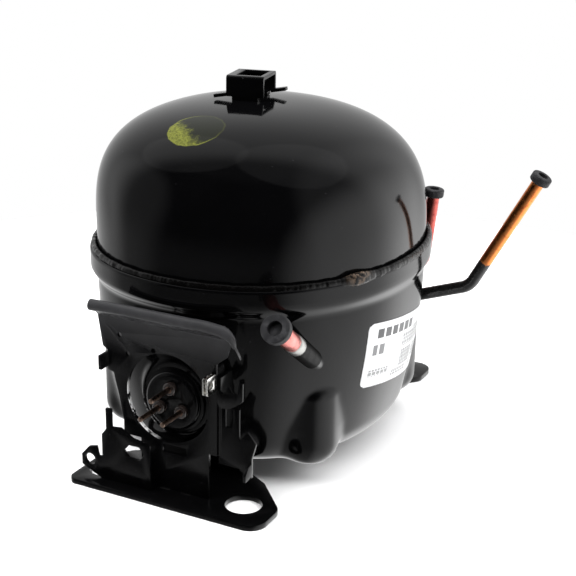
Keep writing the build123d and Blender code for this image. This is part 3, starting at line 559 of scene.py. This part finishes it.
def bracket_enamel():
    """Thin black paint on sheet metal, mixed to a lighter grey high up as painted light from above, with a
    painted highlight along the lower left of the fence's hole.
    """
    f = Finish("bracket_enamel_look")
    deep = f.mix(f.noise(12 * MM), BLACK, (0.0022, 0.0022, 0.0024))
    # painted light: a lighter grey blended in towards the top, standing in for the overhead light on the
    # upper fence and its hem
    painted_light_grey = f.mix(f.noise(7 * MM, 6, 0.6), (0.016, 0.016, 0.017), (0.036, 0.036, 0.038))
    high = f.ramp(f.axis("Z"), 58 * MM, 86 * MM)
    speck = f.math("MULTIPLY", specks(f, 4 * MM, 0.05), 0.5)
    color = f.mix(speck, f.mix(high, deep, painted_light_grey), (0.06, 0.06, 0.06))
    # painted highlight: a bright arc on the lower left of the fence's hole edge, standing in for the edge
    # catching the light
    reach = f.distance(FENCE_HOLE)
    rim = f.math("MULTIPLY", f.ramp(reach, 20.9 * MM, 20.5 * MM), f.ramp(reach, 19.0 * MM, 20.0 * MM))
    side = f.ramp(f.along(FENCE_HOLE, (-0.86, 0, -0.5)), 13.0 * MM, 18.5 * MM)
    painted_rim_highlight = f.math("MULTIPLY", rim, f.math("MULTIPLY", side, f.ramp(f.noise(3 * MM, 5), 0.35, 0.5)))
    color = f.mix(painted_rim_highlight, color, (0.62, 0.62, 0.62))
    f.set(color=color, rough=f.ramp(f.noise(9 * MM, 5), 0.3, 0.7, 0.14, 0.26), specular=0.22)
    f.bump(f.noise(0.9 * MM, 3), 0.02 * MM, 0.4)
    return f.material


def paint_mark(f, base, haze):
    """A round dab of inspection paint: a thin yellow-green edge, filled in on the left."""
    centre = Vector((-5.3, -55.4, 154.9)) * MM
    radius = 12.6 * MM
    reach = f.math("ADD", f.distance(centre), f.ramp(f.noise(3 * MM), 0, 1, -0.7 * MM, 0.7 * MM, "LINEAR"))
    inside = f.ramp(reach, radius, radius - 0.4 * MM)
    edge = f.math("MULTIPLY", inside, f.ramp(reach, radius - 1.1 * MM, radius - 0.5 * MM))
    left = f.along(centre, (-0.66, -0.72, -0.22))
    ragged = f.math("ADD", left, f.ramp(f.noise(4 * MM, 5, 0.7), 0, 1, -7 * MM, 7 * MM, "LINEAR"))
    filled = f.math("MULTIPLY", inside, f.ramp(ragged, 1.0 * MM, 7.5 * MM))
    blotch = f.math("MULTIPLY", filled, f.ramp(f.noise(1.3 * MM, 6, 0.75), 0.3, 0.65, 0.25, 0.9))
    fading = f.math("MULTIPLY", edge, f.ramp(left, -9 * MM, 4 * MM, 0.08, 0.6))
    amount = f.math("MAXIMUM", fading, blotch)
    film = f.math("MULTIPLY", inside, 0.04)
    tint = f.mix(film, base, (0.06, 0.08, 0.01))
    paint = f.mix(f.noise(2 * MM), (0.075, 0.085, 0.006), (0.17, 0.18, 0.02))
    return f.mix(amount, tint, paint), f.math("MAXIMUM", haze, f.math("MULTIPLY", amount, 0.45))


def weld_finish():
    f = Finish("weld_enamel_look")
    base = f.mix(f.noise(2.2 * MM), (0.0005, 0.0005, 0.0005), (0.0022, 0.002, 0.002))
    near = f.ramp(f.distance(WELD_LUMP), 9 * MM, 3 * MM)
    brown = f.mix(f.noise(1.2 * MM), (0.035, 0.022, 0.014), (0.13, 0.095, 0.07))
    grit = f.math("MULTIPLY", near, f.ramp(f.noise(1.8 * MM, 5), 0.4, 0.62))
    f.set(color=f.mix(grit, base, brown))
    f.set(rough=f.ramp(f.noise(1.5 * MM), 0.3, 0.7, 0.12, 0.3), specular=0.22)
    f.bump(f.noise(0.9 * MM, 4, 0.6), 0.08 * MM, 0.5)
    return f.material


def copper(name, low, high, warm, start, direction, reach):
    """Drawn copper with black paint below a ragged edge. start is where the paint ends."""
    f = Finish(name)
    bare = f.mix(f.noise(6 * MM, 5, 0.6), low, high)
    stain = f.ramp(f.noise(2.5 * MM, 6, 0.65), 0.5, 0.72)
    bare = f.mix(stain, bare, warm)
    place = f.along(start, direction)
    ragged = f.math("ADD", place, f.ramp(f.noise(3 * MM, 5, 0.7), 0, 1, -reach, reach, "LINEAR"))
    clean = f.ramp(ragged, -0.5 * MM, 0.6 * MM)
    drips = f.ramp(f.noise(1.6 * MM, 4), 0.66, 0.72)
    clean = f.math("MULTIPLY", clean, f.math("SUBTRACT", 1.0, f.math("MULTIPLY", drips, 0.8)))
    f.set(color=f.mix(clean, (0.006, 0.006, 0.006), bare), metal=clean)
    satin = f.ramp(f.noise(4 * MM), 0.3, 0.7, 0.2, 0.38)
    f.set(rough=f.math("ADD", satin, f.math("MULTIPLY", clean, 0.06)))
    f.bump(f.noise(0.8 * MM, 4), 0.05 * MM, 0.5)
    return f.material


def brazed_copper(mount):
    """Copper lightened to pink as a painted highlight, a bright sleeve 17.6 to 24.2 mm behind the tip, and
    black paint behind that.
    """
    f = Finish("suction_copper_look")
    axis = Vector(mount["axis"]).normalized()
    tip = Vector(mount["pos_m"]) + axis * STUB_SET_BACK
    place = f.along(tip, -axis)
    # painted highlight: the bare copper is a light pink, a lit copy of the discharge tube's copper
    bare = f.mix(f.noise(5 * MM, 5, 0.6), (0.58, 0.16, 0.14), (0.76, 0.30, 0.27))
    bare = f.mix(f.ramp(f.noise(2.5 * MM, 6, 0.65), 0.5, 0.72), bare, (0.50, 0.10, 0.09))
    silver = f.mix(f.noise(1.5 * MM, 5, 0.6), (0.26, 0.26, 0.25), (0.46, 0.46, 0.44))
    ragged = f.math("ADD", place, f.ramp(f.noise(2 * MM, 5, 0.7), 0, 1, -0.4 * MM, 0.4 * MM, "LINEAR"))
    sleeved = f.ramp(ragged, 17.4 * MM, 17.8 * MM)
    painted = f.ramp(ragged, 23.9 * MM, 24.4 * MM)
    f.set(color=f.mix(painted, f.mix(sleeved, bare, silver), (0.002, 0.002, 0.002)))
    f.set(metal=f.ramp(painted, 0, 1, 1, 0), rough=f.ramp(f.noise(3 * MM), 0.3, 0.7, 0.28, 0.42))
    f.set(specular=f.ramp(painted, 0, 1, 0.5, 0.04))
    f.bump(f.noise(0.8 * MM, 4), 0.05 * MM, 0.5)
    return f.material


def rubber():
    f = Finish("plug_rubber_look")
    bloom = f.ramp(f.noise(3 * MM, 5, 0.6), 0.4, 0.75)
    f.set(color=f.mix(bloom, (0.010, 0.010, 0.011), (0.028, 0.028, 0.030)))
    f.set(rough=f.ramp(f.noise(1.5 * MM), 0.3, 0.7, 0.5, 0.75), specular=0.35)
    f.bump(f.noise(0.35 * MM, 3), 0.04 * MM, 0.6)
    return f.material


def steel(name, dark, light, rough, grain, bump_depth, metal=1.0):
    """Bare or plated metal: cloudy colour, fine grain and a duller patch here and there."""
    f = Finish(name)
    f.set(color=f.mix(f.noise(grain * 8, 5, 0.6), dark, light), metal=metal)
    f.set(rough=f.ramp(f.noise(grain * 4, 5, 0.6), 0.3, 0.7, rough * 0.75, rough * 1.35))
    f.bump(f.noise(grain, 4), bump_depth, 0.6)
    return f.material


def striped(name, dark, light, pitch, rough, metal, direction=(0, 0, 1)):
    """Sheets or wires lying side by side, pitch apart."""
    f = Finish(name)
    place = f.along(Vector((0, 0, 0)), direction)
    wave = f.math("SINE", f.math("MULTIPLY", place, 2 * math.pi / pitch))
    ridge = f.ramp(wave, -1, 1)
    f.set(color=f.mix(f.math("MULTIPLY", ridge, f.noise(9 * MM, 5)), dark, light), metal=metal)
    f.set(rough=f.ramp(f.noise(3 * MM), 0.3, 0.7, rough * 0.8, rough * 1.2))
    f.bump(ridge, 0.1 * MM, 0.7)
    return f.material


def woven_sleeve():
    f = Finish("lead_sleeve_look")
    a = f.math("SINE", f.math("MULTIPLY", f.along(Vector((0, 0, 0)), (0.7, 0.7, 0.7)), 7000))
    b = f.math("SINE", f.math("MULTIPLY", f.along(Vector((0, 0, 0)), (0.7, -0.7, 0.7)), 7000))
    weave = f.ramp(f.math("MULTIPLY", a, b), -1, 1)
    f.set(color=f.mix(weave, (0.36, 0.33, 0.26), (0.66, 0.62, 0.52)), rough=f.ramp(weave, 0, 1, 0.9, 0.7))
    f.bump(weave, 0.1 * MM, 0.8)
    return f.material


def plastic(name, dark, light):
    f = Finish(name)
    f.set(color=f.mix(f.noise(8 * MM, 5), dark, light), rough=f.ramp(f.noise(2 * MM), 0.3, 0.7, 0.42, 0.6))
    f.bump(f.noise(0.5 * MM, 3), 0.03 * MM, 0.5)
    return f.material


def seal_glass():
    f = Finish("terminal_glass_look")
    swirl = f.noise(2 * MM, 5, 0.6)
    f.set(color=f.mix(swirl, (0.006, 0.005, 0.005), (0.022, 0.016, 0.014)))
    f.set(rough=f.ramp(swirl, 0.3, 0.7, 0.06, 0.2), coat=0.6)
    f.bump(f.noise(1.2 * MM), 0.05 * MM, 0.4)
    return f.material


def label_film():
    """White film with generic print: a bar of dashes, plain blocks, and fields of finer dashes."""
    f = Finish("label_film_look")
    uv = f.add("ShaderNodeTexCoord").outputs["UV"]
    split = f.add("ShaderNodeSeparateXYZ")
    f.feed(uv, split.inputs[0])
    u, v = split.outputs["X"], split.outputs["Y"]

    def patch(u0, u1, v0, v1):
        across = f.add("ShaderNodeMath", operation="COMPARE")
        f.feed(u, across.inputs[0])
        across.inputs[1].default_value = (u0 + u1) / 2
        across.inputs[2].default_value = (u1 - u0) / 2
        upright = f.add("ShaderNodeMath", operation="COMPARE")
        f.feed(v, upright.inputs[0])
        upright.inputs[1].default_value = (v0 + v1) / 2
        upright.inputs[2].default_value = (v1 - v0) / 2
        return f.math("MULTIPLY", across.outputs[0], upright.outputs[0])

    def dashes(columns, rows, coverage):
        """Rows of short dashes of uneven length."""
        brick = f.add("ShaderNodeTexBrick", offset=0.37, squash=0.7, squash_frequency=2)
        f.feed(uv, brick.inputs["Vector"])
        brick.inputs["Scale"].default_value = 1.0
        brick.inputs["Brick Width"].default_value = 1 / columns
        brick.inputs["Row Height"].default_value = 1 / rows
        brick.inputs["Mortar Size"].default_value = 0.3 / rows * (1 - coverage)
        brick.inputs["Mortar Smooth"].default_value = 0.1
        return f.math("SUBTRACT", 1.0, brick.outputs["Fac"])

    ink = f.math("MULTIPLY", patch(0.08, 0.53, 0.76, 0.90), dashes(13, 4, 0.88))
    blocks = [(0.06, 0.10, 0.50, 0.66, 0.85), (0.12, 0.17, 0.50, 0.66, 0.85), (0.84, 0.92, 0.80, 0.93, 0.5),
              (0.62, 0.70, 0.11, 0.15, 0.6), (0.41, 0.62, 0.19, 0.45, 0.25)]
    for u0, u1, v0, v1, weight in blocks:
        ink = f.math("MAXIMUM", ink, f.math("MULTIPLY", patch(u0, u1, v0, v1), weight))
    small = f.math("MULTIPLY", dashes(23, 17, 0.78), 0.75)
    for area in ((0.40, 0.70, 0.50, 0.70), (0.58, 0.96, 0.54, 0.78), (0.64, 0.92, 0.22, 0.46),
                 (0.05, 0.26, 0.16, 0.27), (0.32, 0.56, 0.08, 0.17), (0.41, 0.62, 0.19, 0.45)):
        ink = f.math("MAXIMUM", ink, f.math("MULTIPLY", patch(*area), small))
    paper = f.mix(f.noise(14 * MM, 4), (0.56, 0.565, 0.57), (0.66, 0.665, 0.67))
    f.set(color=f.mix(ink, paper, (0.03, 0.03, 0.033)), rough=f.ramp(f.noise(9 * MM), 0.3, 0.7, 0.3, 0.42))
    f.bump(f.noise(6 * MM, 3), 0.06 * MM, 0.4)
    return f.material


# --- the rating label ---------------------------------------------------------------------------
def rating_label(material):
    """A patch of film laid on the bowl's side, with rounded corners and a leaning left edge."""
    centre = Vector((0, 6.0, 52.0)) * MM
    half_long = 38.0 * MM
    half_tall = 15.5 * MM
    corner = 3.0 * MM
    tilt = math.radians(-9)
    columns, rows = 61, 27
    v = np.linspace(-half_tall, half_tall, rows)[:, None]
    short = np.maximum(np.abs(v) - (half_tall - corner), 0)
    reach = half_long - corner + np.sqrt(np.maximum(corner ** 2 - short ** 2, 0))
    u = np.linspace(-1, 1, columns)[None, :] * reach
    y = centre.y + u * math.cos(tilt) - v * math.sin(tilt)
    z = centre.z + u * math.sin(tilt) + v * math.cos(tilt)
    lean = (1.6 + 2.0 * v / half_tall) * MM
    y = y - np.clip(-u / half_long, 0, 1) * lean
    near, far = np.full(y.shape, 0.03), np.full(y.shape, 0.10)
    for _ in range(30):
        half = (near + far) / 2
        within = bowl_distance(half, y, z) < 0.16 * MM
        near, far = np.where(within, half, near), np.where(within, far, half)
    points = np.stack([near, y, z], axis=2)
    mesh = grid_mesh("rating_label_look", points, closed=False, uv=True)
    mesh.shade_smooth()
    label = new_object("rating_label_look", mesh)
    film = label.modifiers.new("film", "SOLIDIFY")
    film.thickness = 0.12 * MM
    film.offset = -1
    apply_modifiers(label)
    present(label, "rating_label", material)


# --- studio -------------------------------------------------------------------------------------
CAMERA_TURN = math.radians(26.72)
CAMERA_TILT = math.radians(19.03)
CAMERA_ROLL = math.radians(1.07)
CAMERA_DISTANCE = 0.59995
TARGET_RIGHT = 10.28
TARGET_UP = 68.92
CAMERA_TARGET = Vector((
    TARGET_RIGHT * math.cos(CAMERA_TURN), TARGET_RIGHT * math.sin(CAMERA_TURN), TARGET_UP,
)) * MM
SENSOR_MM = 36
LENS_MM = 78.25125


def camera():
    right = Vector((math.cos(CAMERA_TURN), math.sin(CAMERA_TURN), 0))
    back = Vector((
        math.sin(CAMERA_TURN) * math.cos(CAMERA_TILT),
        -math.cos(CAMERA_TURN) * math.cos(CAMERA_TILT), math.sin(CAMERA_TILT),
    ))
    up = back.cross(right)
    rolled_right = math.cos(CAMERA_ROLL) * right + math.sin(CAMERA_ROLL) * up
    rolled_up = -math.sin(CAMERA_ROLL) * right + math.cos(CAMERA_ROLL) * up
    made = bpy.data.objects.new("camera", bpy.data.cameras.new("camera"))
    bpy.context.scene.collection.objects.link(made)
    made.data.sensor_width = SENSOR_MM
    made.data.lens = LENS_MM
    made.data.clip_start = 0.01
    made.data.clip_end = 50
    turn = Matrix((rolled_right, rolled_up, back)).transposed()
    made.matrix_world = Matrix.Translation(CAMERA_TARGET + back * CAMERA_DISTANCE) @ turn.to_4x4()
    bpy.context.scene.camera = made


def area_light(name, turn, tilt, distance, size, power):
    """A soft box aimed at the object. turn and tilt are degrees, as for the camera."""
    a, e = math.radians(turn), math.radians(tilt)
    back = Vector((math.sin(a) * math.cos(e), -math.cos(a) * math.cos(e), math.sin(e)))
    data = bpy.data.lights.new(name, "AREA")
    data.shape = "DISK"
    data.size = size
    data.energy = power
    light = bpy.data.objects.new(name, data)
    bpy.context.scene.collection.objects.link(light)
    light.location = Vector((0, 0, 0.07)) + back * distance
    light.rotation_euler = back.to_track_quat("Z", "Y").to_euler()
    light.visible_glossy = False
    light.visible_camera = False


def floor():
    turn = np.linspace(0, 2 * math.pi, 97)[:-1]
    rows = []
    for radius in (0.02, 0.12, 0.24, 0.34, 0.40):
        rows.append(np.stack([radius * np.cos(turn), radius * np.sin(turn), 0 * turn - 0.1 * MM], axis=1))
    mesh = grid_mesh("floor", np.array(rows), cap_start=True)
    made = new_object("floor", mesh)
    f = Finish("floor_look")
    f.set(color=f.mix(f.noise(60 * MM), (0.86, 0.86, 0.865), (0.88, 0.88, 0.885)), rough=0.9, specular=0.1)
    mesh.materials.append(f.material)
    made.visible_glossy = False


# turn, tilt, outer and inner half-angles in degrees, strength
PANELS = [
    (207, 10, 88, 66, 0.9),
    (-66, 8, 38, 22, 0.4),
    (118, 10, 58, 40, 0.42),
    (112, -30, 66, 30, 1.9),
    (-84, 62, 27, 25, 0.3),
    (112, 66, 31, 29, 0.3),
    (27, 90, 40, 26, 0.06),
    (0, -90, 82, 44, 0.75),
]


def world():
    """A plain white surround to look at, and a studio of soft panels to light and reflect."""
    made = bpy.data.worlds.new("studio")
    bpy.context.scene.world = made
    made.use_nodes = True
    tree = made.node_tree
    tree.nodes.clear()

    def add(kind, **settings):
        node = tree.nodes.new(kind)
        for key, value in settings.items():
            setattr(node, key, value)
        return node

    place = add("ShaderNodeTexCoord").outputs["Generated"]
    total = None

    def panel(turn, tilt, outer, inner, strength):
        """A soft panel seen in one direction. outer and inner are half-angles, degrees."""
        nonlocal total
        a, e = math.radians(turn), math.radians(tilt)
        dot = add("ShaderNodeVectorMath", operation="DOT_PRODUCT")
        tree.links.new(place, dot.inputs[0])
        dot.inputs[1].default_value = (math.sin(a) * math.cos(e), -math.cos(a) * math.cos(e), math.sin(e))
        edge = add("ShaderNodeMapRange", interpolation_type="SMOOTHSTEP")
        tree.links.new(dot.outputs["Value"], edge.inputs["Value"])
        edge.inputs["From Min"].default_value = math.cos(math.radians(outer))
        edge.inputs["From Max"].default_value = math.cos(math.radians(inner))
        edge.inputs["To Max"].default_value = strength
        if total is None:
            total = edge.outputs[0]
            return
        both = add("ShaderNodeMath", operation="ADD")
        tree.links.new(total, both.inputs[0])
        tree.links.new(edge.outputs[0], both.inputs[1])
        total = both.outputs[0]

    for settings in PANELS:
        panel(*settings)
    studio = add("ShaderNodeBackground")
    tree.links.new(total, studio.inputs["Strength"])
    plain = add("ShaderNodeBackground")
    plain.inputs["Color"].default_value = (1, 1, 1, 1)
    plain.inputs["Strength"].default_value = 1.0
    choose = add("ShaderNodeMixShader")
    seen = add("ShaderNodeLightPath")
    tree.links.new(seen.outputs["Is Camera Ray"], choose.inputs[0])
    tree.links.new(studio.outputs[0], choose.inputs[1])
    tree.links.new(plain.outputs[0], choose.inputs[2])
    tree.links.new(choose.outputs[0], add("ShaderNodeOutputWorld").inputs[0])


# --- build --------------------------------------------------------------------------------------
def tube_material(name, mount, low, high, warm, painted, reach):
    """painted is how far below the tube's tip the black paint ends."""
    axis = Vector(mount["axis"]).normalized()
    tip = Vector(mount["pos_m"]) + axis * STUB_SET_BACK
    return copper(name, low, high, warm, tip - axis * painted, axis, reach)


def finishes():
    """The materials by slot, and the materials of the nodes that differ from their slot."""
    mounts = {mount["name"]: mount for mount in record["mounts"]}
    # one copper in three tones: orange here, a darker red copy for the process tube as painted shade, and a
    # lighter pink copy on the suction tube as painted highlight
    orange = ((0.72, 0.20, 0.055), (0.86, 0.33, 0.10), (0.50, 0.10, 0.03))
    copper_in_painted_shade = ((0.40, 0.07, 0.06), (0.58, 0.16, 0.13), (0.25, 0.03, 0.03))
    made = {
        "shell_enamel": enamel("shell_enamel_look", 0.07, 1.4 * MM),
        "weld_enamel": weld_finish(),
        "bracket_enamel": bracket_enamel(),
        "tube_copper": tube_material("tube_copper_look", mounts["discharge_stub"], *orange, 48 * MM,
                                     2.5 * MM),
        "plug_rubber": rubber(),
        "label_film": label_film(),
        "terminal_steel": enamel("terminal_enamel_look", 0.16, 0.6 * MM),
        "terminal_glass": seal_glass(),
        "pin_alloy": steel("pin_alloy_look", (0.15, 0.10, 0.08), (0.46, 0.33, 0.26), 0.3, 0.3 * MM,
                           0.02 * MM),
        "tin_plate": steel("tin_plate_look", (0.62, 0.61, 0.58), (0.88, 0.87, 0.84), 0.22, 0.6 * MM,
                           0.02 * MM),
        "spring_steel": steel("spring_steel_look", (0.25, 0.25, 0.26), (0.5, 0.5, 0.5), 0.3, 0.4 * MM,
                              0.02 * MM),
        "lamination_steel": striped("lamination_steel_look", (0.10, 0.11, 0.13), (0.34, 0.35, 0.38),
                                    0.5 * MM, 0.4, 1.0),
        "winding_wire": striped("winding_wire_look", (0.30, 0.09, 0.03), (0.66, 0.28, 0.10), 0.8 * MM,
                                0.3, 1.0),
        "cast_metal": steel("cast_metal_look", (0.13, 0.13, 0.135), (0.25, 0.25, 0.26), 0.6, 0.8 * MM,
                            0.12 * MM),
        "machined_steel": steel("machined_steel_look", (0.38, 0.38, 0.40), (0.62, 0.62, 0.64), 0.24,
                                0.4 * MM, 0.015 * MM),
        "rotor_alloy": steel("rotor_alloy_look", (0.55, 0.56, 0.57), (0.76, 0.77, 0.78), 0.4, 0.7 * MM,
                             0.05 * MM),
        "moulded_plastic": plastic("moulded_plastic_look", (0.55, 0.50, 0.38), (0.72, 0.68, 0.56)),
        "lead_sleeve": woven_sleeve(),
        "fastener_steel": steel("fastener_steel_look", (0.30, 0.26, 0.16), (0.56, 0.50, 0.34), 0.3,
                                0.4 * MM, 0.02 * MM),
    }
    special = {
        "upper_shell": enamel("dome_enamel_look", 0.07, 1.4 * MM, marked=True),
        "tray_holder": enamel("clip_enamel_look", 0.14, 0.9 * MM),
        "suction_tube": brazed_copper(mounts["suction_stub"]),
        # the process tube's copper is the darker red copy: painted shade
        "process_tube": tube_material("process_copper_look", mounts["process_stub"], *copper_in_painted_shade, 60 * MM,
                                      2 * MM),
    }
    return made, special


def material_for(node):
    return special_finishes.get(node, slot_finishes[slots[node]])


slot_finishes, special_finishes = finishes()
for node in nodes:
    data = nodes[node].data
    data.materials.clear()
    data.materials.append(material_for(node))

lower_shell(material_for("lower_shell"))
upper_shell(material_for("upper_shell"))
weld_bead(material_for("weld_bead"))
rating_label(material_for("rating_label"))
suction_tube(material_for("suction_tube"))
fence_hem(material_for("terminal_fence"))
ROUNDING = {
    "tray_holder": 0.35, "front_foot": 0.3, "rear_foot": 0.3, "terminal_fence": 0.3,
    "cord_anchor_bracket": 0.3, "relay_clip_bracket": 0.3, "ground_tab": 0.2, "terminal_cup": 0.2,
    "terminal_glass_seals": 0, "terminal_pins": 0, "suction_collar": 0,
    "discharge_tube": 0, "process_tube": 0, "suction_plug": 0, "discharge_plug": 0, "process_plug": 0,
}
for node, width in ROUNDING.items():
    dressed(node, material_for(node), width * MM)

floor()
world()
camera()
area_light("key", -30, 55, 0.9, 0.6, 8)
area_light("fill", 95, 35, 0.9, 0.6, 6)
area_light("top", 20, 88, 0.9, 1.5, 17)
bpy.context.scene.view_settings.view_transform = "Standard"
